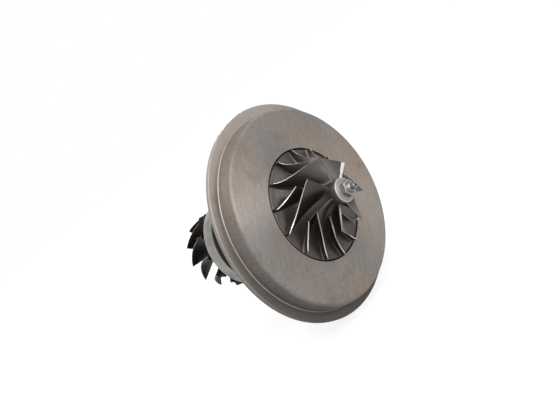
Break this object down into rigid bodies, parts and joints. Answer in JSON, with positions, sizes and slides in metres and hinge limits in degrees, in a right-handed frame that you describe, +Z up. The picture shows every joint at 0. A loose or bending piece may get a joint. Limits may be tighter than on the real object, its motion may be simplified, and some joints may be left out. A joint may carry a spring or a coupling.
{
  "type": "turbocharger cartridge",
  "caption": "Turbocharger cartridge: compressor wheel on a round backplate, bearing housing with oil inlet and drain, and a turbine wheel on one shaft that spins in floating bearings.",
  "frame": {"origin": "on the shaft axis, in the rim face that the compressor cover seats on", "axes": "shaft along Y with the compressor facing -Y, +Z up towards the oil inlet, +X to the right seen from the compressor"},
  "size_m": [0.2, 0.2046, 0.2],
  "materials": {
    "cast_iron": "as cast, machined faces",
    "backplate": "turned",
    "bolt_steel": "plated",
    "seal_rubber": "matte",
    "insert": "turned",
    "spring_steel": "satin",
    "sheet_steel": "rolled",
    "bronze": "turned",
    "shaft_steel": "ground",
    "turbine_alloy": "as cast",
    "wheel_aluminium": "as cast, machined edges",
    "nut_steel": "plated"
  },
  "bodies": {
    "housing": {"bearing_housing": "cast_iron", "compressor_backplate": "backplate", "backplate_bolts": "bolt_steel", "backplate_o_ring": "seal_rubber", "seal_insert": "insert", "insert_o_ring": "seal_rubber", "insert_snap_ring": "spring_steel", "oil_baffle": "sheet_steel", "thrust_bearing": "bronze", "thrust_screws": "bolt_steel", "bearing_snap_rings": "spring_steel", "compressor_seal_ring": "spring_steel", "turbine_seal_ring": "spring_steel", "heat_shield": "sheet_steel"},
    "rotor": {"rotor_shaft": "shaft_steel", "turbine_wheel": "turbine_alloy", "thrust_collar": "shaft_steel", "oil_slinger": "shaft_steel", "compressor_wheel": "wheel_aluminium", "compressor_nut": "nut_steel"},
    "front_bearing": {"front_journal_bearing": "bronze"},
    "rear_bearing": {"rear_journal_bearing": "bronze"}
  },
  "joints": [
    {"name": "rotor_spin", "type": "hinge", "parent": "housing", "child": "rotor", "pos_m": [0, 0, 0], "axis": [0, -1, 0], "continuous": true},
    {"name": "front_bearing_spin", "type": "hinge", "parent": "housing", "child": "front_bearing", "pos_m": [0, 0.034, 0], "axis": [0, -1, 0], "continuous": true},
    {"name": "rear_bearing_spin", "type": "hinge", "parent": "housing", "child": "rear_bearing", "pos_m": [0, 0.066, 0], "axis": [0, -1, 0], "continuous": true}
  ]
}
